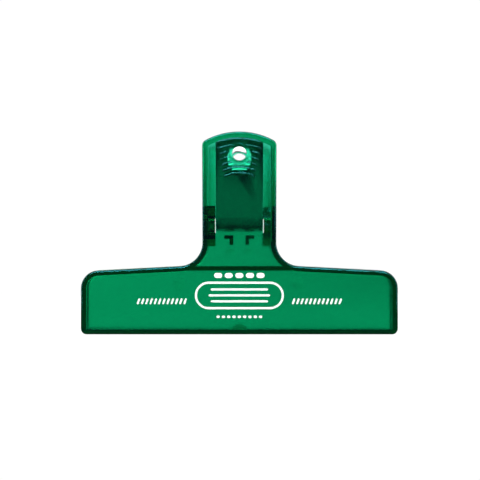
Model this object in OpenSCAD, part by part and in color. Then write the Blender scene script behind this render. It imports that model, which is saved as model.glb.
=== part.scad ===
// Wide spring clip for papers.
// Two identical clear plastic levers hook into each other on short moulded axles, and a
// hairpin leaf spring between their handles holds the jaws shut.
// X runs along the jaws, Y from the front lever (-Y) to the rear lever (+Y), Z is up.
// The origin is on the closing plane, at the middle of the jaws' bottom edges. Millimetres.

/* [Jaws] */
// Width of the jaws
jaw_w = 150; // [120:1:180]
// Depth of one jaw, from the closing plane to its outer face
jaw_depth = 6; // [5.5:0.5:7]
// Height of the lip along the jaw's bottom edge
lip_h = 2; // [2:0.1:4]
// Height of the jaw where it meets the handle
wing_top_z = 32.3; // [31:0.1:33]
// Slope of the jaw's top edge, falling towards its ends
wing_slope = 3; // [2:0.1:4]
// Radius of the jaw's upper corners
wing_corner_r = 8.5; // [6:0.5:10]
// Radius of the jaw's bottom corners
foot_corner_r = 2.8; // [2.5:0.1:4]

/* [Handles] */
// Height of the whole clip
clip_h = 94.5; // [94:0.5:100]
// Width of the handle at the neck
handle_w = 34.8; // [34:0.1:36]
// Width of the handle at its top corners
handle_top_w = 34.4; // [33.4:0.1:34.6]
// Outward lean of each handle
handle_lean = 11.5; // [11:0.1:12]
// Radius of the arched top
top_arc_r = 34; // [33:1:38]
// Radius of the handle's top corners
top_corner_r = 3; // [2.5:0.1:4]
// Radius of the neck, where the handle widens into the jaw
neck_r = 11.3; // [10:0.1:12]

/* [Walls] */
// Thickness of the plates
plate_t = 2; // [1.8:0.1:2.2]
// Thickness of the rim
rim_t = 2.4; // [1.8:0.1:2.4]
// Depth of the rim round the handle, plate included
handle_rim_depth = 4; // [3.5:0.1:4.5]
// Thickness of the rib that crosses the clip under the handle
cross_rib_t = 2.2; // [1.6:0.1:2.4]

/* [Hinge] */
// Height of the hinge's axis
pivot_z = 51.3; // [51:0.1:52]
// Radius of the moulded axles
axle_r = 3.3; // [3:0.1:3.4]
// Radial clearance between axle and socket
axle_clearance = 0.06; // [0.03:0.01:0.1]
// Height of the hinge cheeks and of the socket block
cheek_h = 19; // [18:0.5:19]
// Thickness of the hinge cheeks
cheek_t = 2.1; // [2:0.1:2.2]
// Radius of the lugs round the hinge's axis
lug_r = 5.6; // [5.4:0.1:5.8]
// Width of the mould windows under axle and socket
window_w = 3.5; // [3:0.1:3.6]
// Height of the mould windows under axle and socket
window_h = 6.6; // [6:0.1:6.8]
// Largest angle between the levers, where their cheeks meet
stop_angle = 26; // [24:1:26]

/* [Leaf spring] */
// Width of the spring
spring_w = 22; // [20:0.5:22]
// Thickness of the spring's steel
spring_t = 0.6; // [0.4:0.1:0.8]
// Lowest point of the spring's bend
spring_bottom_z = 48.7; // [48.5:0.1:49]
// Distance of the spring's arched ends from the handle's edge
spring_inset = 2.7; // [2.6:0.1:4]
// Diameter of the holes in the spring's legs
spring_hole_d = 11.2; // [10:0.1:12]
// Height of the holes in the spring's legs
spring_hole_z = 82.6; // [82:0.1:84]

/* [Hang hole and grip] */
// Diameter of the hang hole
hang_hole_d = 6.5; // [5:0.05:7]
// Height of the hang hole
hang_hole_z = 84.4; // [84:0.1:86]
// Diameter of the raised ring round the hang hole
hang_ring_d = 9.8; // [9:0.1:10]
// Number of grip ridges
grip_count = 7; // [5:1:7]
// Distance between grip ridges
grip_pitch = 2.6; // [2.5:0.05:2.8]
// Width of a grip ridge at its foot
grip_ridge_w = 1.8; // [1.2:0.1:1.8]
// Height of a grip ridge above the handle's face
grip_rise = 0.7; // [0.4:0.1:0.8]
// Height of the hang ring above the handle's face
ring_rise = 0.4; // [0.3:0.1:0.5]

/* [Printed pattern] */
// Width of the printed capsule
print_w = 42; // [36:1:46]
// Height of the printed capsule
print_h = 13; // [12:0.5:13]
// Width of the printed lines
print_line = 1; // [0.8:0.1:1.2]
// Number of slanted bars in each side row
slant_count = 12; // [8:1:12]

/* [Hidden] */
$fn = 64;

arc_steps = 12;
bend_steps = 40;
half_w = jaw_w / 2;
half_handle = handle_w / 2;
closing_gap = 0.05;
cheek_gap = 0.2;

// A cutter stands out of the solid by cut, and a prism through the whole clip reaches that far.
cut = 1;
reach = 40;

// Centres of the outline's arcs; an inset outline keeps them and changes only the radii.
foot_c = [half_w - foot_corner_r, foot_corner_r];
wing_c = [half_w - wing_corner_r, wing_line_z(half_w - wing_corner_r) - wing_corner_r / cos(wing_slope)];
neck_c = [half_handle + neck_r, wing_line_z(half_handle + neck_r) + neck_r / cos(wing_slope)];
arc_c = [0, clip_h - top_arc_r];
corner_x = handle_top_w / 2 - top_corner_r;
corner_c = [corner_x, arc_c[1] + sqrt(pow(top_arc_r - top_corner_r, 2) - pow(corner_x, 2))];
corner_angle = acos(corner_x / (top_arc_r - top_corner_r));

// The rim is deep up to the top of the neck, and the handle leans from the jaw's top upwards.
neck_z = neck_c[1];
lean_z = wing_top_z;
lean_slope = tan(handle_lean);

// Hinge: cheeks at the handle's sides, sockets just inside them, the spring between the sockets.
cheek_low = pivot_z - cheek_h / 2;
cheek_high = pivot_z + cheek_h / 2;
cheek_in = half_handle - cheek_t;
spring_side_gap = 0.2;
socket_in = spring_w / 2 + spring_side_gap;
slit_w = 0.35;
axle_in = socket_in + slit_w;
lug_gap = 0.25;
notch_gap = 0.3;
lug_notch_r = lug_r + notch_gap;

// Mould windows: how far they start before the socket, and how deep they go.
window_lead = 0.1;
window_end_y = -4.5;

// Spring stop: a hooked rib just under the spring's bend.
stop_bar = 1.7;
stop_in = 2.9;
stop_out = 7.1;
stop_top = 47;
stop_low = 42.5;
stop_reach = 3.5;

// Spring: the legs lie on the plates, and the bend is tangent to them.
leg_gap = 0.15;
leg_y0 = jaw_depth - plate_t - leg_gap;
bend_r = (leg_y0 + (spring_bottom_z - lean_z) * lean_slope) * cos(handle_lean) / (1 - sin(handle_lean));
bend_z = spring_bottom_z + bend_r;

// Grip: arcs round the centre of the arched top, shorter towards the hinge.
grip_edge = 3;
grip_first_r = top_arc_r - grip_edge;
grip_half_top = 10.7;
grip_half_low = 7.3;
grip_top_w = grip_ridge_w / 3;
grip_root = 0.4;
grip_root_w = grip_ridge_w + grip_root * (grip_ridge_w - grip_top_w) / grip_rise;
grip_clear = 0.3;
grip_clear_r = hang_ring_d / 2 + grip_clear;

// Printed pattern: its middle, the rows above, below and beside it, and the thickness of the ink.
// A row is its number of marks, their distance, and each mark's length, thickness and turn.
ink_t = 0.1;
print_z = 18.5;
bar_pitch = 2.8;
side_row_x = 36.6;
side_row_z = 15.7;
top_row_z = 27.9;
low_row_z = 8.4;
top_row = [5, 5, 3.8, 2.4, 0];
low_row = [9, 2.5, 1.6, 1.2, 0];
side_row = [slant_count, 2, 2.9, 0.9, 70];

// Height of the jaw's sloping top edge at a distance x from the middle
function wing_line_z(x) = wing_top_z - (x - half_handle - neck_r) * tan(wing_slope);

// Depth of a lever's outer face at height z
function face_y(z) = -jaw_depth - max(0, z - lean_z) * lean_slope;

// Points of an arc
function arc(c, r, from, to, steps = arc_steps) =
    [for (i = [0:steps]) let (a = from + (to - from) * i / steps) c + r * [cos(a), sin(a)]];

// Right half of a lever's outline, moved inwards by d
function half_outline(d) = concat(
    arc(foot_c, foot_corner_r - d, -90, 0),
    arc(wing_c, wing_corner_r - d, 0, 90 - wing_slope),
    arc(neck_c, neck_r + d, 270 - wing_slope, 180),
    arc(corner_c, top_corner_r - d, 0, corner_angle),
    arc(arc_c, top_arc_r - d, corner_angle, 90)
);

// The same points, mirrored and in reverse order
function mirrored(points) = [for (i = [len(points) - 1:-1:0]) [-points[i][0], points[i][1]]];

// Extrudes a shape drawn in X and Z from y_low to y_high
module along_y(y_low, y_high) {
    translate([0, y_high, 0])
        rotate([90, 0, 0])
            linear_extrude(y_high - y_low)
                children();
}

// Extrudes a shape drawn in Y and Z from x_low to x_high
module along_x(x_low, x_high) {
    translate([x_low, 0, 0])
        rotate([90, 0, 90])
            linear_extrude(x_high - x_low)
                children();
}

// Places children on the handle's outer face, at height z, with Z up the handle
module on_handle(z) {
    translate([0, face_y(z), z])
        rotate([handle_lean, 0, 0])
            children();
}

// Solid with a lever's front view
module front_view(d) {
    right = half_outline(d);
    along_y(-reach, reach)
        polygon(concat(right, mirrored(right)));
}

// Side view of the rimmed tray: deep round the jaw and neck, shallow round the handle
module tray_side() {
    high = clip_h + cut;
    polygon([
        [-closing_gap, 0],
        [-jaw_depth, 0],
        [-jaw_depth, lean_z],
        [face_y(high), high],
        [face_y(high) + handle_rim_depth, high],
        [face_y(neck_z) + handle_rim_depth, neck_z],
        [-closing_gap, neck_z]
    ]);
}

// Side view of the space inside the tray
module hollow_side() {
    high = clip_h + cut;
    polygon([
        [cut, lip_h],
        [plate_t - jaw_depth, lip_h],
        [plate_t - jaw_depth, lean_z],
        [face_y(high) + plate_t, high],
        [cut, high]
    ]);
}

// Side view of a hinge cheek, rooted in the plate and cut back above the axis so that the levers can swing
module cheek_side() {
    polygon([
        [face_y(cheek_low) + plate_t / 2, cheek_low],
        [face_y(cheek_high) + plate_t / 2, cheek_high],
        [-cheek_gap - (cheek_high - pivot_z) * tan(stop_angle / 2), cheek_high],
        [-cheek_gap, pivot_z],
        [-cheek_gap, cheek_low]
    ]);
}

// Round bar along X on the hinge's axis
module pivot_bar(r, x_low, x_high) {
    along_x(x_low, x_high)
        translate([0, pivot_z])
            circle(r);
}

// Side of the hinge that carries the axle, at +X on the front lever
module axle_cheek() {
    along_x(cheek_in, half_handle)
        cheek_side();
    pivot_bar(lug_r, cheek_in, half_handle);
    pivot_bar(axle_r, axle_in, cheek_in + cut);
}

// Side of the hinge that holds the other lever's axle, at -X on the front lever
module socket_cheek() {
    difference() {
        union() {
            along_x(-half_handle, -cheek_in)
                cheek_side();
            along_x(-cheek_in, -socket_in)
                cheek_side();
            pivot_bar(lug_r, -cheek_in, -socket_in);
        }
        pivot_bar(lug_notch_r, -half_handle - cut, -cheek_in + lug_gap);
        pivot_bar(axle_r + axle_clearance, -cheek_in - cut, -socket_in + cut);
        translate([-axle_in, -reach, pivot_z - window_h / 2])
            cube([slit_w + cut, 2 * reach, window_h]);
    }
}

// Opening in the plate under an axle or a socket
module mould_window() {
    translate([socket_in - window_lead, -reach, pivot_z - window_h / 2])
        cube([window_w, reach + window_end_y, window_h]);
}

// Hooked rib that keeps the spring's bend up
module spring_stop() {
    along_y(face_y(stop_low) + plate_t / 2, stop_reach) {
        translate([-stop_out, stop_top - stop_bar])
            square([stop_out - stop_in, stop_bar]);
        translate([-stop_in - stop_bar, stop_low])
            square([stop_bar, stop_top - stop_low]);
    }
}

// Cross-section of a grip ridge, rooted in the plate
module grip_section() {
    polygon([
        [-grip_root_w / 2, -grip_root],
        [grip_root_w / 2, -grip_root],
        [grip_top_w / 2, grip_rise],
        [-grip_top_w / 2, grip_rise]
    ]);
}

// Curved ridges for the thumb, left out round the hang hole
module grip_ridges() {
    difference() {
        on_handle(arc_c[1])
            for (i = [0:grip_count - 1]) {
                r = grip_first_r - i * grip_pitch;
                half = grip_half_top + (grip_half_low - grip_half_top) * i / (grip_count - 1);
                a = asin(half / r);
                rotate([90, 0, 0])
                    rotate([0, 0, 90 - a])
                        rotate_extrude(angle = 2 * a)
                            translate([r, 0])
                                grip_section();
            }
        on_handle(hang_hole_z)
            rotate([90, 0, 0])
                cylinder(r = grip_clear_r, h = 2 * jaw_depth, center = true);
    }
}

// One lever, as the front one stands
module lever() {
    difference() {
        union() {
            difference() {
                intersection() {
                    front_view(0);
                    along_x(-half_w - cut, half_w + cut)
                        tray_side();
                }
                intersection() {
                    front_view(rim_t);
                    along_x(-half_w - cut, half_w + cut)
                        hollow_side();
                }
            }
            translate([-half_handle - neck_r, -jaw_depth + plate_t / 2, lean_z - cross_rib_t])
                cube([handle_w + 2 * neck_r, jaw_depth - plate_t / 2 - closing_gap, cross_rib_t]);
            intersection() {
                front_view(0);
                union() {
                    axle_cheek();
                    socket_cheek();
                }
            }
            spring_stop();
            grip_ridges();
            on_handle(hang_hole_z)
                rotate([90, 0, 0])
                    translate([0, 0, -plate_t / 2])
                        cylinder(d = hang_ring_d, h = plate_t / 2 + ring_rise);
        }
        on_handle(hang_hole_z)
            rotate([90, 0, 0])
                cylinder(d = hang_hole_d, h = 2 * jaw_depth, center = true);
        mould_window();
        mirror([1, 0, 0])
            mould_window();
    }
}

module front_lever() {
    color([0.0, 0.55, 0.34, 0.7])
        lever();
}

module rear_lever() {
    color([0.0, 0.5, 0.3, 0.7])
        rotate([0, 0, 180])
            lever();
}

// Side view of the hairpin: one bend, and two straight legs that are tangent to it
module spring_side() {
    inner_r = bend_r - spring_t;
    start = 180 + handle_lean;
    stop = 360 - handle_lean;
    up = [-sin(handle_lean), cos(handle_lean)];
    tip = (clip_h - bend_z) * up;
    bend_c = [0, bend_z];
    outer = arc(bend_c, bend_r, start, stop, bend_steps);
    inner = arc(bend_c, inner_r, stop, start, bend_steps);
    polygon(concat(
        [outer[0] + tip],
        outer,
        [outer[bend_steps] + [-tip[0], tip[1]]],
        [inner[0] + [-tip[0], tip[1]]],
        inner,
        [inner[bend_steps] + tip]
    ));
}

module leaf_spring() {
    color([0.75, 0.77, 0.78])
        difference() {
            intersection() {
                along_x(-spring_w / 2, spring_w / 2)
                    spring_side();
                along_y(-reach, reach)
                    translate(arc_c)
                        circle(top_arc_r - spring_inset, $fn = 128);
            }
            along_y(-reach, reach)
                translate([0, spring_hole_z])
                    circle(d = spring_hole_d);
        }
}

// Bar with round ends, centred
module capsule(w, h) {
    square([w - h, h], center = true);
    for (side = [-1, 1])
        translate([side * (w - h) / 2, 0])
            circle(d = h);
}

// Row of marks centred on x
module mark_row(x, z, row) {
    for (i = [0:row[0] - 1])
        translate([x + (i - (row[0] - 1) / 2) * row[1], z])
            rotate(row[4])
                capsule(row[2], row[3]);
}

module front_print() {
    color("white")
        along_y(-jaw_depth - ink_t, -jaw_depth) {
            difference() {
                translate([0, print_z])
                    capsule(print_w, print_h);
                translate([0, print_z])
                    capsule(print_w - 2 * print_line, print_h - 2 * print_line);
            }
            for (i = [-1:1])
                translate([0, print_z + i * bar_pitch])
                    capsule(print_w - print_h - abs(i) * 2 * print_line, print_line);
            mark_row(0, top_row_z, top_row);
            mark_row(0, low_row_z, low_row);
            mark_row(-side_row_x, side_row_z, side_row);
            mark_row(side_row_x, side_row_z, side_row);
        }
}

front_lever();
rear_lever();
leaf_spring();
front_print();
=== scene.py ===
"""Looks of a wide spring clip for papers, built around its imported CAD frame.

Two identical levers, moulded in transparent green plastic, hook into each other on short
axles. A hairpin leaf spring between their handles holds the jaws shut, and a white pattern is
printed on the front jaw. X runs along the jaws, Y from the front lever (-Y) to the rear lever
(+Y), and Z is up. The clip's sizes are in millimetres and become metres when a mesh is made.
"""
import logging
import math
from collections.abc import Callable, Iterable, Sequence
from dataclasses import dataclass
from enum import Enum

import bmesh
import bpy
from mathutils import Matrix, Vector


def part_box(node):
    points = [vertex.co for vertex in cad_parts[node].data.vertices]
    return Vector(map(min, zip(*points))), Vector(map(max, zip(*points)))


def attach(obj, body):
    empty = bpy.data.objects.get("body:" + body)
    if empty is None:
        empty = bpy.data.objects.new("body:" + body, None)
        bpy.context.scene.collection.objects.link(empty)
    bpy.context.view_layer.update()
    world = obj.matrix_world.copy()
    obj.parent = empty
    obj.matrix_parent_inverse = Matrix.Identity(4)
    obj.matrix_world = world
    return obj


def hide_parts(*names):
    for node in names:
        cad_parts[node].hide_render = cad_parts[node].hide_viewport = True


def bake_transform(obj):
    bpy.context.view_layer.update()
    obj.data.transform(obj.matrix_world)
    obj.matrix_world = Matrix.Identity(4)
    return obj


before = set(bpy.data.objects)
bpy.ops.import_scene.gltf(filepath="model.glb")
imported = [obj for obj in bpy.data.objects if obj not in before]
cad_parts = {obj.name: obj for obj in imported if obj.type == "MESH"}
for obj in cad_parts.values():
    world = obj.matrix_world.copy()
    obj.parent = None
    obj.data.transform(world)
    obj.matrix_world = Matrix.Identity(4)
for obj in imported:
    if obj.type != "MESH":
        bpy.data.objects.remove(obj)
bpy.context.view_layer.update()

LOG = logging.getLogger("spring_clip")
MM = 0.001

Point2 = tuple[float, float]
Point3 = tuple[float, float, float]
Outline = list[Point2]
Band = tuple[float, float]
Colour = tuple[float, float, float]
Socket = bpy.types.NodeSocket
Solid = bmesh.types.BMesh
Piece = bpy.types.Object
Material = bpy.types.Material

ROUND_STEPS = 64  # chords round a hole, an axle or a socket
FAR = 20.0  # well outside the clip, for the ends of cutters
PAST = 1.0  # how far a cutter runs past the face it opens
HAIR = 0.01  # keeps two faces out of one plane where solids are joined
ROUNDED = math.radians(30)  # a prism's edges sharper than this are rounded
WHITE: Colour = (1.0, 1.0, 1.0)


# Mesh tools


class Join(Enum):
    """How one solid changes another."""

    ADD = "UNION"
    CUT = "DIFFERENCE"
    KEEP_COMMON = "INTERSECT"


def arc(centre: Point2, radius: float, start: float, stop: float, steps: int) -> Outline:
    """Points along an arc.

    Args:
        centre: The arc's centre.
        radius: Its radius.
        start: The angle of its first point, in degrees.
        stop: The angle of its last point, in degrees.
        steps: The number of chords.

    Returns:
        steps + 1 points.
    """
    angles = [math.radians(start + (stop - start) * i / steps) for i in range(steps + 1)]
    return [(centre[0] + radius * math.cos(a), centre[1] + radius * math.sin(a)) for a in angles]


def circle(centre: Point2, radius: float, steps: int = ROUND_STEPS) -> Outline:
    """Closed outline of a circle."""
    return arc(centre, radius, 0, 360, steps)[:-1]


def rectangle(low: Point2, high: Point2) -> Outline:
    """Closed outline of a rectangle, from its lowest and its highest corner."""
    return [low, (high[0], low[1]), high, (low[0], high[1])]


def along_x(a: float, b: float, t: float) -> Vector:
    """Point of a prism along X, drawn in Y and Z."""
    return Vector((t, a, b))


def along_y(a: float, b: float, t: float) -> Vector:
    """Point of a prism along Y, drawn in X and Z."""
    return Vector((a, t, b))


def object_from(bm: Solid, name: str) -> Piece:
    """Turns a bmesh in millimetres into an object in metres.

    Args:
        bm: The mesh, which is freed.
        name: The new object's name.

    Returns:
        The linked object, with outward normals.
    """
    bmesh.ops.recalc_face_normals(bm, faces=bm.faces)
    bmesh.ops.scale(bm, vec=(MM, MM, MM), verts=bm.verts)
    mesh = bpy.data.meshes.new(name)
    bm.to_mesh(mesh)
    bm.free()
    obj = bpy.data.objects.new(name, mesh)
    bpy.context.scene.collection.objects.link(obj)
    return obj


def bake_modifiers(obj: Piece) -> None:
    """Replaces an object's mesh by what its modifiers make of it.

    Args:
        obj: The object, which is left without modifiers.
    """
    bpy.context.view_layer.update()
    evaluated = obj.evaluated_get(bpy.context.evaluated_depsgraph_get())
    mesh = bpy.data.meshes.new_from_object(evaluated)
    old = obj.data
    obj.modifiers.clear()
    obj.data = mesh
    bpy.data.meshes.remove(old)


def combine(target: Piece, tool: Piece, how: Join) -> None:
    """Adds a solid to another or cuts it out, and removes the tool.

    Args:
        target: The solid that is changed.
        tool: The solid that is added, cut out or intersected.
        how: What is done with it.
    """
    modifier = target.modifiers.new(how.value, "BOOLEAN")
    modifier.operation = how.value
    modifier.solver = "EXACT"
    modifier.object = tool
    bake_modifiers(target)
    used = tool.data
    bpy.data.objects.remove(tool)
    bpy.data.meshes.remove(used)


def bridge(bm: Solid, rings: Sequence[Sequence[bmesh.types.BMVert]]) -> None:
    """Joins each ring of points to the next one by four-sided faces.

    Args:
        bm: The mesh that holds the points.
        rings: Rings with equal numbers of points.
    """
    for low, high in zip(rings, rings[1:]):
        for i in range(len(low)):
            j = (i + 1) % len(low)
            bm.faces.new((low[i], low[j], high[j], high[i]))


def loft(rings: Sequence[Sequence[Vector]]) -> Solid:
    """Closed skin through rings with equal numbers of points, capped at both ends.

    Args:
        rings: The rings, from one cap to the other.

    Returns:
        A closed solid.
    """
    bm = bmesh.new()
    made = [[bm.verts.new(p) for p in ring] for ring in rings]
    bridge(bm, made)
    bm.faces.new(list(reversed(made[0])))
    bm.faces.new(made[-1])
    return bm


def prism(
    outline: Outline, low: float, high: float, place: Callable[[float, float, float], Vector],
    bevel: float = 0.0, segments: int = 2,
) -> Solid:
    """Straight prism with softened edges.

    Args:
        outline: Its outline, as pairs (a, b).
        low: Where it starts along its own axis.
        high: Where it ends.
        place: Turns (a, b, along) into a point.
        bevel: The width of the rounding on all sharp edges.
        segments: The number of faces across that rounding.

    Returns:
        A closed solid.
    """
    bm = loft([[place(a, b, t) for a, b in outline] for t in (low, high)])
    bmesh.ops.recalc_face_normals(bm, faces=bm.faces)
    if bevel > 0:
        sharp = [e for e in bm.edges if e.calc_face_angle(0.0) > ROUNDED]
        bmesh.ops.bevel(
            bm, geom=sharp, offset=bevel, segments=segments, profile=0.5, affect="EDGES",
            clamp_overlap=True,
        )
    return bm


def revolved(profile: Outline, place: Matrix) -> Solid:
    """Turned solid whose profile starts and ends on its axis.

    Args:
        profile: Pairs (radius, height) from the axis round to the axis.
        place: Where its axis, the matrix's Z axis, goes.

    Returns:
        A closed solid.
    """
    bm = bmesh.new()
    ends = [bm.verts.new(place @ Vector((0, 0, profile[k][1]))) for k in (0, -1)]
    rings = [
        [bm.verts.new(place @ Vector((x, y, height))) for x, y in circle((0.0, 0.0), radius)]
        for radius, height in profile[1:-1]
    ]
    bridge(bm, rings)
    for i in range(ROUND_STEPS):
        j = (i + 1) % ROUND_STEPS
        bm.faces.new((ends[0], rings[0][j], rings[0][i]))
        bm.faces.new((ends[1], rings[-1][i], rings[-1][j]))
    return bm


def merged(parts: Iterable[Solid]) -> Solid:
    """Joins separate solids into one bmesh.

    Args:
        parts: The solids, which are freed.

    Returns:
        A bmesh that holds all of them.
    """
    whole = bmesh.new()
    for part in parts:
        holder = bpy.data.meshes.new("holder")
        part.to_mesh(holder)
        part.free()
        whole.from_mesh(holder)
        bpy.data.meshes.remove(holder)
    return whole


def dress(obj: Piece, material: Material, angle: float) -> None:
    """Gives an object its material and its shading.

    Args:
        obj: The object.
        material: Its only material.
        angle: Edges are sharp where faces meet at more than this, in degrees.
    """
    mesh = obj.data
    mesh.materials.clear()
    mesh.materials.append(material)
    mesh.polygons.foreach_set("use_smooth", [True] * len(mesh.polygons))
    mesh.set_sharp_from_angle(angle=math.radians(angle))
    mesh.update()


# Shader tools


class Graph:
    """Short way to place and join shader nodes."""

    def __init__(self, tree: bpy.types.NodeTree) -> None:
        """Starts on an emptied tree."""
        self.tree = tree
        tree.nodes.clear()

    def add(
        self, kind: str, inputs: dict[str | int, object] | None = None, **settings: object,
    ) -> bpy.types.Node:
        """Adds a node.

        Args:
            kind: Its type, without the prefix ShaderNode.
            inputs: Values or other sockets for its sockets, by name or number.
            settings: Its properties.

        Returns:
            The node.
        """
        node = self.tree.nodes.new(kind if kind.startswith("Node") else "ShaderNode" + kind)
        for name, value in settings.items():
            setattr(node, name, value)
        for name, value in (inputs or {}).items():
            socket = node.inputs[name]
            if isinstance(value, Socket):
                self.tree.links.new(value, socket)
            else:
                socket.default_value = (*value, 1.0) if socket.type == "RGBA" else value
        return node

    def math(self, operation: str, a: object, b: object = 0.0) -> Socket:
        """Result of a maths node on two values or sockets."""
        return self.add("Math", {0: a, 1: b}, operation=operation).outputs[0]

    def scaled(self, value: Socket, share: float) -> Socket:
        """A value times a constant."""
        return self.math("MULTIPLY", value, share)

    def ramp(self, value: Socket, band: Band) -> Socket:
        """Smooth rise from 0 to 1 as a value goes through a band."""
        given = {"Value": value, "From Min": band[0], "From Max": band[1]}
        return self.add("MapRange", given, interpolation_type="SMOOTHSTEP").outputs["Result"]

    def mix(self, share: object, a: object, b: object) -> Socket:
        """Blend of two values, from a at share 0 to b at share 1."""
        return self.add("Mix", {0: share, 2: a, 3: b}, data_type="FLOAT").outputs[0]

    def mix_colour(self, share: object, a: Colour, b: Colour) -> Socket:
        """Blend of two colours, from a at share 0 to b at share 1."""
        return self.add("Mix", {0: share, 6: a, 7: b}, data_type="RGBA").outputs[2]

    def noise(self, vector: Socket, scale: object, detail: float, **settings: object) -> Socket:
        """Value of a noise texture."""
        given = {"Vector": vector, "Scale": scale, "Detail": detail}
        return self.add("TexNoise", given, **settings).outputs["Fac"]

    def bump(self, height: Socket, strength: float, distance: float) -> Socket:
        """Normal of a surface with fine relief."""
        return self.add("Bump", {"Strength": strength, "Distance": distance, "Height": height}).outputs[0]

    def place(self, kind: str = "Object") -> Socket:
        """Texture coordinates of one kind."""
        return self.add("TexCoord").outputs[kind]


@dataclass(frozen=True)
class HandlingMarks:
    """Shared node group of handling marks: hairline scratches, dust and waves."""

    name: str = "handling_marks"
    scratch_turn: Point3 = (0.3, 0.5, 0.9)
    scratch_stretch: Point3 = (1.0, 0.09, 0.09)
    scratch_band: Band = (0.86, 1.0)
    scratch_depth: float = 0.12
    patch_scale: float = 60.0
    patch_band: Band = (0.42, 0.66)
    speck_scale: float = 700.0
    speck_band: Band = (0.03, 0.10)
    dust_scale: float = 300.0
    dust_band: Band = (0.60, 0.72)

    def group(self) -> bpy.types.NodeTree:
        """The group, built once and then shared.

        Returns:
            A node group with a scratch mask, a dust mask and a height.
        """
        found = bpy.data.node_groups.get(self.name)
        if found is not None:
            return found
        tree = bpy.data.node_groups.new(self.name, "ShaderNodeTree")
        for socket in ("Scratch Scale", "Wave Scale", "Wave Height"):
            tree.interface.new_socket(socket, in_out="INPUT", socket_type="NodeSocketFloat")
        for socket in ("Scratches", "Dust", "Height"):
            tree.interface.new_socket(socket, in_out="OUTPUT", socket_type="NodeSocketFloat")
        graph = Graph(tree)
        given = graph.add("NodeGroupInput").outputs
        place = graph.place()
        turned = graph.add(
            "Mapping", {"Vector": place, "Rotation": self.scratch_turn, "Scale": self.scratch_stretch}
        )
        lines = graph.noise(
            turned.outputs[0], given["Scratch Scale"], detail=3.0, noise_type="RIDGED_MULTIFRACTAL"
        )
        patches = graph.ramp(graph.noise(place, self.patch_scale, detail=2.0), self.patch_band)
        scratch = graph.math("MULTIPLY", graph.ramp(lines, self.scratch_band), patches)
        specks = graph.add("TexVoronoi", {"Vector": place, "Scale": self.speck_scale}).outputs["Distance"]
        speck = graph.math("SUBTRACT", 1.0, graph.ramp(specks, self.speck_band))
        dusty = graph.ramp(graph.noise(place, self.dust_scale, detail=1.0), self.dust_band)
        dust = graph.math("MULTIPLY", speck, dusty)
        waves = graph.noise(place, given["Wave Scale"], detail=1.5)
        height = graph.math(
            "SUBTRACT", graph.math("MULTIPLY", waves, given["Wave Height"]),
            graph.scaled(scratch, self.scratch_depth),
        )
        graph.add("NodeGroupOutput", {"Scratches": scratch, "Dust": dust, "Height": height})
        return tree

    def on(
        self, graph: Graph, scratch_scale: float, wave_scale: float, wave_height: float,
    ) -> tuple[Socket, ...]:
        """Places the group in a material.

        Args:
            graph: The material's nodes.
            scratch_scale: The scratches' fineness, per metre.
            wave_scale: The waves' fineness, per metre.
            wave_height: The waves' height, as a share of the bump distance.

        Returns:
            The scratch mask, the dust mask and the height.
        """
        values = {"Scratch Scale": scratch_scale, "Wave Scale": wave_scale, "Wave Height": wave_height}
        return tuple(graph.add("Group", values, node_tree=self.group()).outputs)


def new_material(name: str) -> tuple[Material, Graph]:
    """An empty node material.

    Args:
        name: Its name.

    Returns:
        The material, and the graph of its nodes.
    """
    material = bpy.data.materials.new(name)
    material.use_nodes = True
    return material, Graph(material.node_tree)


# Finishes


@dataclass(frozen=True)
class ClearGreenPlastic:
    """Transparent green polystyrene: polished outside, satin inside, coloured through."""

    index: float = 1.59
    absorb_colour: Colour = (0.0, 0.834, 0.69)
    absorb_density: float = 1806.0
    gloss_tint: Colour = (0.08, 0.85, 1.0)
    dust_tint: Colour = (0.80, 0.86, 0.82)
    polished: float = 0.02
    satin: float = 0.25
    scratch_dulls: float = 0.12
    dust_dulls: float = 0.3
    wave_distance: float = 0.00002
    marks: Point3 = (800.0, 170.0, 0.6)  # scratch scale, wave scale, wave height

    def material(self) -> Material:
        """The material, with its satin inner faces taken from the mesh's own mask.

        Returns:
            A glass-like material with absorption inside.
        """
        material, graph = new_material("clear_green_plastic")
        scratches, dust, height = HandlingMarks().on(graph, *self.marks)
        inner = graph.add("Attribute", attribute_name="satin").outputs["Fac"]
        scratched = graph.math(
            "ADD", graph.mix(inner, self.polished, self.satin), graph.scaled(scratches, self.scratch_dulls)
        )
        shader = graph.add("BsdfPrincipled", {
            "Base Color": graph.mix_colour(dust, WHITE, self.dust_tint),
            "Roughness": graph.math("ADD", scratched, graph.scaled(dust, self.dust_dulls)),
            "Normal": graph.bump(height, strength=1.0, distance=self.wave_distance),
            "IOR": self.index,
            "Specular Tint": self.gloss_tint,
            "Transmission Weight": 1.0,
        })
        inside = {"Color": self.absorb_colour, "Density": self.absorb_density}
        volume = graph.add("VolumeAbsorption", inside)
        graph.add("OutputMaterial", {"Surface": shader.outputs[0], "Volume": volume.outputs[0]})
        return material


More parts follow.
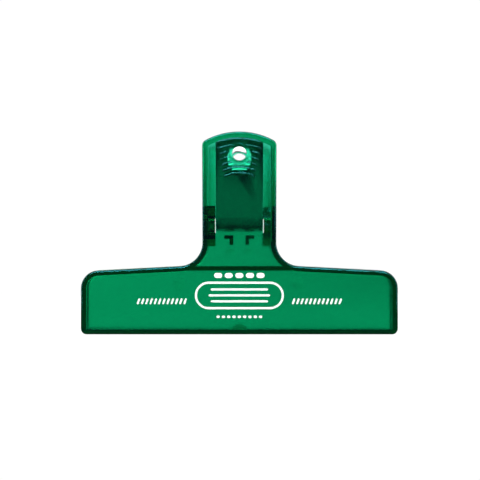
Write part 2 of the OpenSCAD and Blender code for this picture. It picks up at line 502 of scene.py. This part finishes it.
@dataclass(frozen=True)
class SpringSteel:
    """Bright rolled strip with lines along the rolling direction."""

    bright: Colour = (0.44, 0.45, 0.45)
    dull: Colour = (0.41, 0.42, 0.42)
    smooth: float = 0.2
    rough: float = 0.24
    line_stretch: Point3 = (1.0, 0.02, 0.02)
    line_scale: float = 9000.0
    line_share: float = 0.6
    line_band: Band = (0.3, 0.7)
    line_depth: float = 0.5
    broad_scale: float = 140.0
    streak_band: Band = (0.35, 0.65)
    scratch_dulls: float = 0.15
    line_distance: float = 0.0000004
    marks: Point3 = (1400.0, 300.0, 0.2)  # scratch scale, wave scale, wave height

    def material(self) -> Material:
        """The material.

        Returns:
            A metal whose colour and roughness vary in long streaks.
        """
        material, graph = new_material("spring_steel")
        scratches, _, height = HandlingMarks().on(graph, *self.marks)
        place = graph.place()
        stretched = graph.add("Mapping", {"Vector": place, "Scale": self.line_stretch}).outputs[0]
        lines = graph.noise(stretched, self.line_scale, detail=4.0)
        broad = graph.noise(place, self.broad_scale, detail=2.0)
        streak = graph.math(
            "ADD", graph.scaled(lines, self.line_share), graph.scaled(broad, 1 - self.line_share)
        )
        worn = graph.mix(graph.ramp(lines, self.line_band), self.rough, self.smooth)
        relief = graph.math("ADD", graph.scaled(lines, self.line_depth), height)
        shader = graph.add("BsdfPrincipled", {
            "Base Color": graph.mix_colour(graph.ramp(streak, self.streak_band), self.dull, self.bright),
            "Roughness": graph.math("ADD", worn, graph.scaled(scratches, self.scratch_dulls)),
            "Normal": graph.bump(relief, strength=0.6, distance=self.line_distance),
            "Metallic": 1.0,
        })
        graph.add("OutputMaterial", {"Surface": shader.outputs[0]})
        return material


@dataclass(frozen=True)
class WhiteInk:
    """Pad-printed white ink: matt, slightly uneven, thin in places."""

    full: Colour = (0.95, 0.96, 0.95)
    thin: Colour = (0.84, 0.90, 0.87)
    mottle_scale: float = 1800.0
    thin_band: Band = (0.56, 0.74)
    rough: Band = (0.42, 0.62)
    grain_distance: float = 0.00001
    marks: Point3 = (1200.0, 2500.0, 0.5)  # scratch scale, wave scale, wave height

    def material(self) -> Material:
        """The material.

        Returns:
            A matt white with the mottle of a printing pad.
        """
        material, graph = new_material("white_ink")
        scratches, _, height = HandlingMarks().on(graph, *self.marks)
        mottle = graph.noise(graph.place(), self.mottle_scale, detail=3.0)
        shader = graph.add("BsdfPrincipled", {
            "Base Color": graph.mix_colour(graph.ramp(mottle, self.thin_band), self.full, self.thin),
            "Roughness": graph.math("ADD", graph.mix(mottle, *self.rough), scratches),
            "Normal": graph.bump(height, strength=0.5, distance=self.grain_distance),
        })
        graph.add("OutputMaterial", {"Surface": shader.outputs[0]})
        return material


# The clip


@dataclass(frozen=True)
class Profile:
    """Front outline and side profile that both levers share."""

    jaw_w: float
    clip_h: float
    jaw_depth: float = 6.0
    wing_top_z: float = 32.3
    wing_slope: float = 3.0
    wing_corner_r: float = 8.5
    foot_corner_r: float = 2.8
    foot_least_r: float = 0.2
    handle_w: float = 34.8
    handle_top_w: float = 34.4
    handle_lean: float = 11.5
    top_arc_r: float = 34.0
    top_corner_r: float = 3.0
    neck_r: float = 11.3
    plate_t: float = 2.0
    rim_t: float = 2.4
    lip_h: float = 2.0
    handle_rim_depth: float = 4.0
    closing_gap: float = 0.05

    @property
    def half_handle(self) -> float:
        """Half the handle's width at the neck."""
        return self.handle_w / 2

    @property
    def lean_slope(self) -> float:
        """How far a handle moves outwards for each millimetre upwards."""
        return math.tan(math.radians(self.handle_lean))

    @property
    def arc_centre(self) -> Point2:
        """Centre of the arched top."""
        return (0.0, self.clip_h - self.top_arc_r)

    @property
    def neck_centre(self) -> Point2:
        """Centre of the right neck curve."""
        x = self.half_handle + self.neck_r
        return (x, self.wing_line_z(x) + self.neck_r / math.cos(math.radians(self.wing_slope)))

    def wing_line_z(self, x: float) -> float:
        """Height of the jaw's sloping top edge at a distance x from the middle."""
        fall = math.tan(math.radians(self.wing_slope))
        return self.wing_top_z - (x - self.half_handle - self.neck_r) * fall

    def face_y(self, z: float) -> float:
        """Depth of the front lever's outer face at height z."""
        return -self.jaw_depth - max(0.0, z - self.wing_top_z) * self.lean_slope

    def outline(self, inset: float, lift: float = 0.0) -> Outline:
        """The front outline as a closed loop.

        Args:
            inset: How far it is moved inwards.
            lift: How far its bottom edge is raised as well.

        Returns:
            Its points, from the right foot round to the left one.
        """
        half_w = self.jaw_w / 2
        slope = self.wing_slope
        foot_r = max(self.foot_corner_r - inset, self.foot_least_r)
        foot = (half_w - inset - foot_r, inset + foot_r + lift)
        wing_x = half_w - self.wing_corner_r
        wing = (wing_x, self.wing_line_z(wing_x) - self.wing_corner_r / math.cos(math.radians(slope)))
        corner_x = self.handle_top_w / 2 - self.top_corner_r
        reach = self.top_arc_r - self.top_corner_r
        corner = (corner_x, self.arc_centre[1] + math.sqrt(reach**2 - corner_x**2))
        turn = math.degrees(math.acos(corner_x / reach))
        right = (
            arc(foot, foot_r, -90, 0, steps=8)
            + arc(wing, self.wing_corner_r - inset, 0, 90 - slope, steps=14)
            + arc(self.neck_centre, self.neck_r + inset, 270 - slope, 180, steps=18)
            + arc(corner, self.top_corner_r - inset, 0, turn, steps=8)
            + arc(self.arc_centre, self.top_arc_r - inset, turn, 90, steps=20)
        )
        return right + [(-x, z) for x, z in reversed(right[:-1])]

    def on_handle(self, z: float) -> Matrix:
        """Place on the front handle's outer face, with its Z axis pointing outwards.

        Args:
            z: The height of the place.

        Returns:
            A matrix whose X axis is the clip's, Y goes up the handle and Z goes out of it.
        """
        face = Matrix.Translation((0.0, self.face_y(z), z))
        lean = Matrix.Rotation(math.radians(self.handle_lean), 4, "X")
        return face @ lean @ Matrix.Rotation(math.pi / 2, 4, "X")


@dataclass
class Lever:
    """One moulded lever: a rimmed T-shaped tray with its hinge, ribs, grip and hang hole."""

    profile: Profile
    edge_r: float = 1.2
    small_r: float = 0.25
    wall_draft: float = 0.15
    floor_r: float = 0.3
    rim_step: float = 0.6  # height over which the neck's rim becomes the handle's
    pivot_z: float = 51.3
    axle_r: float = 3.3
    axle_clearance: float = 0.06
    cheek_h: float = 19.0
    cheek_t: float = 2.1
    cheek_inset: float = 0.28
    cheek_gap: float = 0.2
    cheek_soft: float = 0.2
    lug_r: float = 5.6
    lug_gap: float = 0.25
    socket_in: float = 11.2
    notch_gap: float = 0.3
    block_soft: float = 0.25
    axle_soft: float = 0.3
    slit_w: float = 0.35
    window_w: float = 3.5
    window_h: float = 6.6
    window_lead: float = 0.1
    window_end_y: float = -4.5
    stop_angle: float = 26.0
    stop_bar: float = 1.7
    stop_in: float = 2.9
    stop_out: float = 7.1
    stop_top: float = 47.0
    stop_low: float = 42.5
    stop_reach: float = 3.5
    cross_rib_t: float = 2.2
    cross_rib_half: float = 27.5
    rib_soft: float = 0.15
    hole_d: float = 6.5
    hole_z: float = 84.4
    hole_cut: float = 4.0
    hole_mouth: tuple[Point2, ...] = ((0.0, -0.25), (0.07, -0.07), (0.25, 0.02))
    ring_d: float = 9.8
    ring_rise: float = 0.4
    ring_root: float = 1.0
    ring_edge: tuple[Point2, ...] = ((0.0, 0.3), (0.06, 0.65), (0.2, 0.92), (0.4, 1.0))
    grip_count: int = 7
    grip_pitch: float = 2.6
    grip_edge: float = 3.0
    grip_clear: float = 0.3
    grip_half_top: float = 10.7
    grip_half_low: float = 7.3
    ridge_w: float = 1.8
    ridge_rise: float = 0.7
    ridge_root: float = 0.8
    ridge_shape: tuple[Point2, ...] = ((1.0, 0.0), (0.45, 0.88), (0.25, 1.0))
    ridge_steps: int = 28
    ridge_bluntness: int = 14
    ridge_tip: float = 0.12
    mark_root: float = 0.3
    gate_x: float = 0.2
    gate_r: float = 3.6
    gate_squash: float = 0.8
    gate_rise: float = 0.5
    dots: tuple[Point3, ...] = ((-28.5, 23.75, 6.0), (-4.3, 38.5, 4.5))
    dot_rise: float = 0.12
    satin_facing: float = 0.3  # least Y of a satin face's normal
    sharp_angle: float = 32.0

    @property
    def cheek_in(self) -> float:
        """Distance from the middle to a hinge cheek's inner face."""
        return self.profile.half_handle - self.cheek_t

    @property
    def cheek_out(self) -> float:
        """Distance from the middle to a hinge cheek's outer face."""
        return self.profile.half_handle - self.cheek_inset

    def tray_rings(self) -> list[list[Vector]]:
        """Rings of the tray before its handle leans, from the outer face round to the inner one.

        Returns:
            Rings in X, Y and Z with the outer face at -jaw_depth.
        """
        p = self.profile
        edge, small, fillet = self.edge_r, self.small_r, self.floor_r
        front, back = -p.jaw_depth, -p.closing_gap
        floor = front + p.plate_t
        foot = p.rim_t + self.wall_draft
        outside = arc((edge, front + edge), edge, 270, 180, steps=6)
        outside += arc((small, back - small), small, 180, 90, steps=3)
        inside = arc((p.rim_t - small, back - small), small, 90, 0, steps=3)
        inside += arc((foot + fillet, floor + fillet), fillet, 180, 270, steps=4)
        raised = p.lip_h - p.rim_t
        sections = [(*at, 0.0) for at in outside] + [(*at, raised) for at in inside]
        return [[Vector((x, y, z)) for x, z in p.outline(inset, lift)] for inset, y, lift in sections]

    def lean(self, point: Vector) -> None:
        """Moves a point of the upright tray to its place in the leaning one.

        Args:
            point: The point, changed in place.
        """
        p = self.profile
        shift = p.face_y(point.z) + p.jaw_depth
        low = p.plate_t - p.jaw_depth + self.floor_r
        shallow = min(1.0, max(0.0, (point.z - p.neck_centre[1]) / self.rim_step))
        top = (1 - shallow) * -p.closing_gap + shallow * (shift + p.handle_rim_depth - p.jaw_depth)
        round_zone = -p.closing_gap - self.small_r
        if point.y <= low:
            point.y += shift
        elif point.y >= round_zone:
            point.y = top + (point.y + p.closing_gap)
        else:
            share = (point.y - low) / (round_zone - low)
            point.y = low + shift + share * (top - self.small_r - low - shift)

    def tray(self) -> Piece:
        """The rimmed tray.

        Returns:
            A closed solid with a soft outer edge and drafted walls.
        """
        bm = loft(self.tray_rings())
        neck = self.profile.neck_centre[1]
        for z in (self.profile.wing_top_z, neck, neck + self.rim_step):
            everything = list(bm.verts) + list(bm.edges) + list(bm.faces)
            bmesh.ops.bisect_plane(bm, geom=everything, dist=1e-5, plane_co=(0, 0, z), plane_no=(0, 0, 1))
        for vert in bm.verts:
            self.lean(vert.co)
        return object_from(bm, "lever")

    def cheek_profile(self) -> Outline:
        """Side view of a hinge cheek, cut back above the axis so that the levers can swing.

        Returns:
            A closed outline in Y and Z.
        """
        p = self.profile
        half = self.cheek_h / 2
        low, high = self.pivot_z - half, self.pivot_z + half
        root = p.plate_t / 2
        back = -self.cheek_gap
        swing = half * math.tan(math.radians(self.stop_angle / 2))
        return [
            (p.face_y(low) + root, low),
            (p.face_y(high) + root, high),
            (back - swing, high),
            (back, self.pivot_z),
            (back, low),
        ]

    def bar(self, radius: float, low: float, high: float, bevel: float = 0.0) -> Solid:
        """Round bar along X on the hinge's axis."""
        return prism(circle((0.0, self.pivot_z), radius), low, high, along_x, bevel)

    def at_window(self, low: float, high: float) -> Outline:
        """Rectangle as high as a mould window, from low to high across."""
        half = self.window_h / 2
        return rectangle((low, self.pivot_z - half), (high, self.pivot_z + half))

    def axle_side(self) -> list[Solid]:
        """Cheek, lug and stub axle at the right.

        Returns:
            Three overlapping solids.
        """
        inner, outer = self.cheek_in, self.cheek_out
        return [
            prism(self.cheek_profile(), inner, outer, along_x, self.cheek_soft),
            self.bar(self.lug_r, inner + HAIR, outer - HAIR, self.cheek_soft),
            self.bar(self.axle_r, self.socket_in + self.slit_w, inner + PAST, self.axle_soft),
        ]

    def socket_side(self) -> Piece:
        """Cheek and block at the left, with the socket for the other lever's axle.

        Returns:
            A closed solid.
        """
        inner, outer, mouth = -self.cheek_in, -self.cheek_out, -self.socket_in
        block = object_from(prism(self.cheek_profile(), outer, mouth, along_x, self.block_soft), "block")
        lug = self.bar(self.lug_r, inner, mouth - HAIR, self.block_soft)
        combine(block, object_from(lug, "lug"), Join.ADD)
        cutters = (
            self.bar(self.lug_r + self.notch_gap, outer - PAST, inner + self.lug_gap),
            self.bar(self.axle_r + self.axle_clearance, inner - PAST, mouth + PAST),
            prism(self.at_window(-FAR, FAR), mouth - self.slit_w, mouth + PAST, along_x),
        )
        for cutter in cutters:
            combine(block, object_from(cutter, "cutter"), Join.CUT)
        return block

    def ribs(self) -> list[Solid]:
        """The cross rib under the handle, and the hooked rib under the spring's bend.

        Returns:
            Two solids rooted inside the plate.
        """
        p = self.profile
        root = p.plate_t / 2
        half = self.cross_rib_half
        cross = rectangle((-half, p.wing_top_z - self.cross_rib_t), (half, p.wing_top_z))
        bar = self.stop_bar
        hook = [
            (-self.stop_out, self.stop_top - bar),
            (-self.stop_in - bar, self.stop_top - bar),
            (-self.stop_in - bar, self.stop_low),
            (-self.stop_in, self.stop_low),
            (-self.stop_in, self.stop_top),
            (-self.stop_out, self.stop_top),
        ]
        return [
            prism(cross, root - p.jaw_depth, -p.closing_gap - 2 * HAIR, along_y, self.rib_soft),
            prism(hook, p.face_y(self.stop_low) + root, self.stop_reach, along_y, self.rib_soft),
        ]

    def ridge(self, radius: float, half: float) -> Solid:
        """One curved ridge for the thumb, with tapered ends.

        Args:
            radius: Its distance from the centre of the arched top.
            half: Half its length across the handle.

        Returns:
            A closed bar, half sunk into the handle's face.
        """
        place = self.profile.on_handle(self.profile.arc_centre[1])
        section = [(self.ridge_w / 2, -self.ridge_root)]
        section += [(u * self.ridge_w / 2, v * self.ridge_rise) for u, v in self.ridge_shape]
        section += [(-u, v) for u, v in reversed(section)]
        turn = math.asin(half / radius)
        rings = []
        for i in range(self.ridge_steps + 1):
            t = 2 * i / self.ridge_steps - 1
            a = math.pi / 2 - turn * t
            size = max(self.ridge_tip, math.sqrt(1 - abs(t) ** self.ridge_bluntness))
            across, up = math.cos(a), math.sin(a)
            points = [(radius + size * u, size * v) for u, v in section]
            rings.append([place @ Vector((r * across, r * up, h)) for r, h in points])
        return loft(rings)

    def ridges(self) -> Piece:
        """All ridges of the grip, left out round the hang hole.

        Returns:
            An object of separate bars.
        """
        bars = []
        for row in range(self.grip_count):
            share = row / (self.grip_count - 1)
            half = self.grip_half_top + (self.grip_half_low - self.grip_half_top) * share
            radius = self.profile.top_arc_r - self.grip_edge - row * self.grip_pitch
            bars.append(self.ridge(radius, half))
        grip = object_from(merged(bars), "ridges")
        clearing = rectangle((0, -self.hole_cut), (self.ring_d / 2 + self.grip_clear, self.hole_cut))
        combine(grip, object_from(self.turned(clearing), "clearing"), Join.CUT)
        return grip

    def turned(self, profile: Outline) -> Solid:
        """Solid turned about the hang hole's axis, from pairs (radius, height above the face)."""
        return revolved(profile, self.profile.on_handle(self.hole_z))

    def ring(self) -> Solid:
        """The raised ring round the hang hole, still without the hole.

        Returns:
            A disc with a rounded edge, rooted inside the plate.
        """
        r = self.ring_d / 2
        edge = [(r - inset, self.ring_rise * share) for inset, share in self.ring_edge]
        return self.turned([(0, -self.ring_root), (r, -self.ring_root), *edge, (0, self.ring_rise)])

    def hang_hole(self) -> Solid:
        """Cutter for the hang hole, with a softened outer mouth.

        Returns:
            A pin that widens where it leaves the ring.
        """
        r = self.hole_d / 2
        mouth = [(r + wider, self.ring_rise + h) for wider, h in self.hole_mouth]
        top = [(mouth[-1][0], self.hole_cut), (0, self.hole_cut)]
        return self.turned([(0, -self.hole_cut), (r, -self.hole_cut), *mouth, *top])

    def window(self, side: int) -> Solid:
        """Cutter for the mould window in front of an axle or a socket.

        Args:
            side: 1 for the right window, -1 for the left one.

        Returns:
            A block that runs from in front of the clip into its hinge.
        """
        near = self.socket_in - self.window_lead
        low, high = sorted((side * near, side * (near + self.window_w)))
        return prism(self.at_window(low, high), -FAR, self.window_end_y, along_y)

    def moulding_marks(self) -> list[Solid]:
        """Marks of the mould on the inner face: a gate pad by the lip and shallow ejector dots.

        Returns:
            Low pads rooted inside the plate.
        """
        p = self.profile
        floor = p.plate_t - p.jaw_depth
        root = floor - self.mark_root
        gate_z = p.lip_h - self.mark_root
        half_round = arc((self.gate_x, gate_z), self.gate_r, 0, 180, steps=24)
        gate = [(x, gate_z + (z - gate_z) * self.gate_squash) for x, z in half_round]
        marks = [prism(gate, root, floor + self.gate_rise, along_y, bevel=0.2)]
        for x, z, d in self.dots:
            shift = p.face_y(z) + p.jaw_depth
            dot = circle((x, z), d / 2, steps=32)
            marks.append(prism(dot, root + shift, floor + self.dot_rise + shift, along_y, bevel=0.05))
        return marks

    def build(self) -> Piece:
        """The whole lever as the front one stands.

        Returns:
            One closed solid.
        """
        lever = self.tray()
        added = [object_from(bm, "part") for bm in self.ribs() + self.axle_side() + self.moulding_marks()]
        added += [self.socket_side(), object_from(self.ring(), "ring"), self.ridges()]
        for part in added:
            combine(lever, part, Join.ADD)
        cutters = merged([self.hang_hole(), self.window(1), self.window(-1)])
        combine(lever, object_from(cutters, "cutters"), Join.CUT)
        return lever

    def mask_satin(self, obj: Piece) -> None:
        """Stores which faces the mould left satin: those that look inwards.

        Args:
            obj: The lever, as the front one stands.
        """
        mesh = obj.data
        mask = mesh.attributes.new("satin", "FLOAT", "FACE")
        mask.data.foreach_set("value", [float(f.normal.y > self.satin_facing) for f in mesh.polygons])

    def make_pair(self, material: Material) -> list[Piece]:
        """Both levers, dressed and riding on their bodies.

        Args:
            material: The plastic.

        Returns:
            The front lever and the rear lever.
        """
        front = self.build()
        front.name = "front_lever_moulding"
        dress(front, material, self.sharp_angle)
        self.mask_satin(front)
        rear = bpy.data.objects.new("rear_lever_moulding", front.data.copy())
        rear.data.transform(Matrix.Rotation(math.pi, 4, "Z"))
        bpy.context.scene.collection.objects.link(rear)
        for obj, body, node in ((front, "front_body", "front_lever"), (rear, "rear_body", "rear_lever")):
            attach(obj, body)
            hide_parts(node)
        return [front, rear]


@dataclass
class LeafSpring:
    """Hairpin of spring steel: one bend at the hinge and two holed legs on the plates."""

    profile: Profile
    width: float = 22.0
    thickness: float = 0.6
    bottom_z: float = 48.7
    inset: float = 2.7
    hole_d: float = 11.2
    hole_z: float = 82.6
    leg_gap: float = 0.15
    bend_steps: int = 48
    end_steps: int = 128
    cut_reach: float = 30.0
    edge: float = 0.12
    edge_angle: float = 40.0
    sharp_angle: float = 35.0

    def side_outline(self) -> Outline:
        """Side view of the strip: one bend, and two straight legs that are tangent to it.

        Returns:
            A closed outline in Y and Z.
        """
        p = self.profile
        lean = math.radians(p.handle_lean)
        start_y = p.jaw_depth - p.plate_t - self.leg_gap
        rise = (self.bottom_z - p.wing_top_z) * p.lean_slope
        bend_r = (start_y + rise) * math.cos(lean) / (1 - math.sin(lean))
        centre = (0.0, self.bottom_z + bend_r)
        reach = p.clip_h - centre[1]
        tip_y, tip_z = -math.sin(lean) * reach, math.cos(lean) * reach
        first, last = 180 + p.handle_lean, 360 - p.handle_lean
        outer = arc(centre, bend_r, first, last, self.bend_steps)
        inner = arc(centre, bend_r - self.thickness, last, first, self.bend_steps)
        front_tips, rear_tips = (
            [(a[0] + side * tip_y, a[1] + tip_z), (b[0] + side * tip_y, b[1] + tip_z)]
            for side, a, b in ((1, inner[-1], outer[0]), (-1, outer[-1], inner[0]))
        )
        return outer + rear_tips + inner + front_tips

    def make(self, material: Material) -> Piece:
        """The spring, with its bend at the hinge between both levers.

        Args:
            material: The steel.

        Returns:
            The spring.
        """
        p = self.profile
        half = self.width / 2
        spring = object_from(prism(self.side_outline(), -half, half, along_x), "hairpin_spring")
        disc = circle(p.arc_centre, p.top_arc_r - self.inset, self.end_steps)
        hole = circle((0.0, self.hole_z), self.hole_d / 2)
        for outline, how in ((disc, Join.KEEP_COMMON), (hole, Join.CUT)):
            cutter = prism(outline, -self.cut_reach, self.cut_reach, along_y)
            combine(spring, object_from(cutter, "cutter"), how)
        bevel = spring.modifiers.new("edges", "BEVEL")
        bevel.width = self.edge * MM
        bevel.segments = 2
        bevel.limit_method = "ANGLE"
        bevel.angle_limit = math.radians(self.edge_angle)
        bake_modifiers(spring)
        dress(spring, material, self.sharp_angle)
        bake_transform(spring)
        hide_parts("leaf_spring")
        return spring


@dataclass(frozen=True)
class MarkRow:
    """A row of printed marks with round ends, centred on x."""

    x: float
    z: float
    count: int
    pitch: float
    length: float
    thickness: float
    turn: float = 0.0


@dataclass
class PrintedPattern:
    """White print on the front jaw: an outlined capsule with bars, and rows of marks."""

    profile: Profile
    width: float = 42.0
    height: float = 13.0
    line: float = 1.0
    middle_z: float = 18.5
    bar_pitch: float = 2.8
    ink_t: float = 0.1
    ink_soft: float = 0.04
    end_steps: int = 16
    sharp_angle: float = 40.0
    rows: tuple[MarkRow, ...] = (
        MarkRow(0.0, 27.9, 5, 5.0, 3.8, 2.4),
        MarkRow(0.0, 8.4, 9, 2.5, 1.6, 1.2),
        MarkRow(-36.6, 15.7, 12, 2.0, 2.9, 0.9, 70.0),
        MarkRow(36.6, 15.7, 12, 2.0, 2.9, 0.9, 70.0),
    )

    @property
    def skin(self) -> Point2:
        """Depths of the ink's outer face and of its back, a hair in front of the plastic."""
        face = -self.profile.jaw_depth
        return (face - self.ink_t, face - HAIR)

    def capsule(self, x: float, z: float, w: float, h: float, turn: float = 0.0) -> Outline:
        """Outline of a bar with round ends.

        Args:
            x: Its middle.
            z: The height of its middle.
            w: Its length.
            h: Its thickness.
            turn: How far it is turned, in degrees.

        Returns:
            A closed outline in X and Z.
        """
        reach = (w - h) / 2
        right, up = reach * math.cos(math.radians(turn)), reach * math.sin(math.radians(turn))
        ahead = arc((x + right, z + up), h / 2, turn - 90, turn + 90, self.end_steps)
        return ahead + arc((x - right, z - up), h / 2, turn + 90, turn + 270, self.end_steps)

    def layer(self, outline: Outline) -> Solid:
        """A patch of ink with the soft edge that a pad leaves."""
        return prism(outline, *self.skin, along_y, self.ink_soft, segments=1)

    def frame_ring(self) -> Solid:
        """The outlined capsule.

        Returns:
            A closed ring of ink.
        """
        top, back = self.skin
        thinner = 2 * self.line
        outer = self.capsule(0, self.middle_z, self.width, self.height)
        inner = self.capsule(0, self.middle_z, self.width - thinner, self.height - thinner)
        bm = bmesh.new()
        rings = []
        for outline, y in ((outer, back), (outer, top), (inner, top), (inner, back)):
            rings.append([bm.verts.new((x, y, z)) for x, z in outline])
        bridge(bm, rings + rings[:1])
        return bm

    def marks(self, row: MarkRow) -> list[Solid]:
        """The marks of one row."""
        places = [row.x + (i - (row.count - 1) / 2) * row.pitch for i in range(row.count)]
        return [self.layer(self.capsule(x, row.z, row.length, row.thickness, row.turn)) for x in places]

    def make(self, material: Material) -> Piece:
        """The print, riding on the front lever's body.

        Args:
            material: The ink.

        Returns:
            The print as one object of separate patches.
        """
        parts = [self.frame_ring()]
        for i in (-1, 0, 1):
            length = self.width - self.height - abs(i) * 2 * self.line
            parts.append(self.layer(self.capsule(0, self.middle_z + i * self.bar_pitch, length, self.line)))
        for row in self.rows:
            parts += self.marks(row)
        obj = object_from(merged(parts), "printed_pattern")
        dress(obj, material, self.sharp_angle)
        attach(obj, "front_body")
        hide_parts("front_print")
        return obj


# The studio


@dataclass(frozen=True)
class Softbox:
    """An area light that looks at the clip's middle; sizes in metres, power in watts."""

    name: str
    place: Point3
    size: Point2
    power: float
    aim: Point3 = (0.0, 0.0, 0.05)

    def hang(self) -> None:
        """Makes the light, unseen through the plastic."""
        data = bpy.data.lights.new(self.name, "AREA")
        data.shape = "RECTANGLE"
        data.size, data.size_y = self.size
        data.energy = self.power
        obj = bpy.data.objects.new(self.name, data)
        obj.location = self.place
        obj.rotation_euler = (Vector(self.aim) - Vector(self.place)).to_track_quat("-Z", "Y").to_euler()
        obj.visible_transmission = False
        bpy.context.scene.collection.objects.link(obj)


@dataclass(frozen=True)
class Surroundings:
    """White sweep round the clip, by direction of view and by kind of ray."""

    backdrop: float = 1.02
    rear_band: Band = (-0.35, 0.35)  # from the camera's side to the far side
    sweep: float = 0.9  # far side straight ahead, lighter to the left and darker to the right
    sweep_fall: float = 0.8
    sweep_least: float = 0.4
    high_band: Band = (0.1, 0.5)  # from near level to high up
    high_lift: float = 3.0
    card: float = 0.86  # pale card low on the camera's side, seen only through the plastic
    card_drop: float = 0.36
    card_band: Band = (0.16, 0.30)
    aside_band: Band = (-0.9, -0.6)  # from behind the camera to beside it
    mirrored_dark: float = 0.12
    mirrored_bright: float = 1.1

    def build(self) -> None:
        """Makes the world: plain white for the camera, shaped for gloss and for the plastic."""
        world = bpy.data.worlds.new("studio")
        world.use_nodes = True
        bpy.context.scene.world = world
        graph = Graph(world.node_tree)
        ray = graph.add("LightPath").outputs
        x, y, z = graph.add("SeparateXYZ", {"Vector": graph.place("Generated")}).outputs
        sweep = graph.math("SUBTRACT", self.sweep, graph.scaled(x, self.sweep_fall))
        lifted = graph.mix(graph.ramp(z, self.high_band), 1.0, self.high_lift)
        rear = graph.math("MULTIPLY", lifted, graph.math("MAXIMUM", sweep, self.sweep_least))
        height = graph.math("ABSOLUTE", graph.math("ADD", z, self.card_drop))
        card = graph.mix(graph.ramp(height, self.card_band), self.card, 0.0)
        through = graph.mix(graph.ramp(y, self.rear_band), card, rear)
        mirrored = graph.mix(graph.ramp(y, self.aside_band), self.mirrored_dark, self.mirrored_bright)
        indirect = graph.mix(ray["Is Transmission Ray"], mirrored, through)
        strength = graph.mix(ray["Is Camera Ray"], indirect, self.backdrop)
        light = graph.add("Background", {"Color": WHITE, "Strength": strength})
        graph.add("OutputWorld", {"Surface": light.outputs[0]})


@dataclass(frozen=True)
class PaperFloor:
    """Pale sheet under the clip that shows only its faint shadow; outline in millimetres."""

    low: Point2 = (-200.0, -110.0)
    high: Point2 = (200.0, 300.0)
    z: float = -0.02
    pale: Colour = (0.25, 0.25, 0.25)
    dark: Colour = (0.02, 0.02, 0.02)  # as gloss and bounced light see it
    glow: float = 0.78
    glow_in_gloss: float = 0.12
    glow_through: float = 0.62
    glow_band: Band = (-0.005, 0.02)  # from under the clip to behind it, in metres

    def material(self) -> Material:
        """The paper.

        Returns:
            A matt sheet with a glow of its own, fainter through the plastic and in its gloss.
        """
        material, graph = new_material("paper_sweep")
        ray = graph.add("LightPath").outputs
        camera, through = ray["Is Camera Ray"], ray["Is Transmission Ray"]
        tone = graph.mix_colour(graph.math("MAXIMUM", camera, through), self.dark, self.pale)
        paper = graph.add("BsdfDiffuse", {"Color": tone})
        y = graph.add("SeparateXYZ", {"Vector": graph.place()}).outputs["Y"]
        rear = graph.scaled(graph.ramp(y, self.glow_band), self.glow_through)
        strength = graph.mix(camera, graph.mix(through, self.glow_in_gloss, rear), self.glow)
        glow = graph.add("Emission", {"Color": WHITE, "Strength": strength})
        both = graph.add("AddShader", {0: paper.outputs[0], 1: glow.outputs[0]})
        graph.add("OutputMaterial", {"Surface": both.outputs[0]})
        return material

    def build(self) -> None:
        """Lays the sheet."""
        bm = bmesh.new()
        bm.faces.new([bm.verts.new((x, y, self.z)) for x, y in rectangle(self.low, self.high)])
        obj = object_from(bm, "floor")
        if obj.data.polygons[0].normal.z < 0:
            obj.data.flip_normals()
        obj.data.materials.append(self.material())


@dataclass
class Studio:
    """Camera, soft lights, floor and surroundings; sizes in metres."""

    view_width: float = 0.2265
    distance: float = 0.43
    eye_x: float = 0.0003
    eye_z: float = 0.04465
    sensor: float = 36.0
    lights: tuple[Softbox, ...] = (
        Softbox("key", (-0.1, -0.35, 0.55), (0.9, 0.5), 5.0),
        Softbox("strip", (0.0, -0.45, 0.30), (0.6, 0.2), 1.5),
    )

    def camera(self, front: float) -> None:
        """The camera, level and square to the jaws' front.

        Args:
            front: The Y of the jaws' front face.
        """
        data = bpy.data.cameras.new("camera")
        data.sensor_width = self.sensor
        data.lens = self.sensor * self.distance / self.view_width
        data.clip_start = 0.01
        data.clip_end = 10.0
        obj = bpy.data.objects.new("camera", data)
        obj.location = (self.eye_x, front - self.distance, self.eye_z)
        obj.rotation_euler = (math.pi / 2, 0.0, 0.0)
        bpy.context.scene.collection.objects.link(obj)
        bpy.context.scene.camera = obj

    def build(self, front: float) -> None:
        """Sets up everything that isn't the clip.

        Args:
            front: The Y of the jaws' front face.
        """
        self.camera(front)
        Surroundings().build()
        PaperFloor().build()
        for light in self.lights:
            light.hang()
        view = bpy.context.scene.view_settings
        view.view_transform = "Standard"
        view.look = "None"


def main() -> None:
    """Builds the studio, the clip and its print, and reports each piece."""
    logging.basicConfig(level=logging.INFO, format="%(name)s: %(message)s")
    low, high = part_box("front_lever")
    profile = Profile(jaw_w=(high.x - low.x) / MM, clip_h=high.z / MM)
    Studio().build(-profile.jaw_depth * MM)
    pieces = Lever(profile).make_pair(ClearGreenPlastic().material())
    pieces.append(LeafSpring(profile).make(SpringSteel().material()))
    pieces.append(PrintedPattern(profile).make(WhiteInk().material()))
    for piece in pieces:
        LOG.info("%s: %d faces", piece.name, len(piece.data.polygons))


if __name__ == "__main__":
    main()
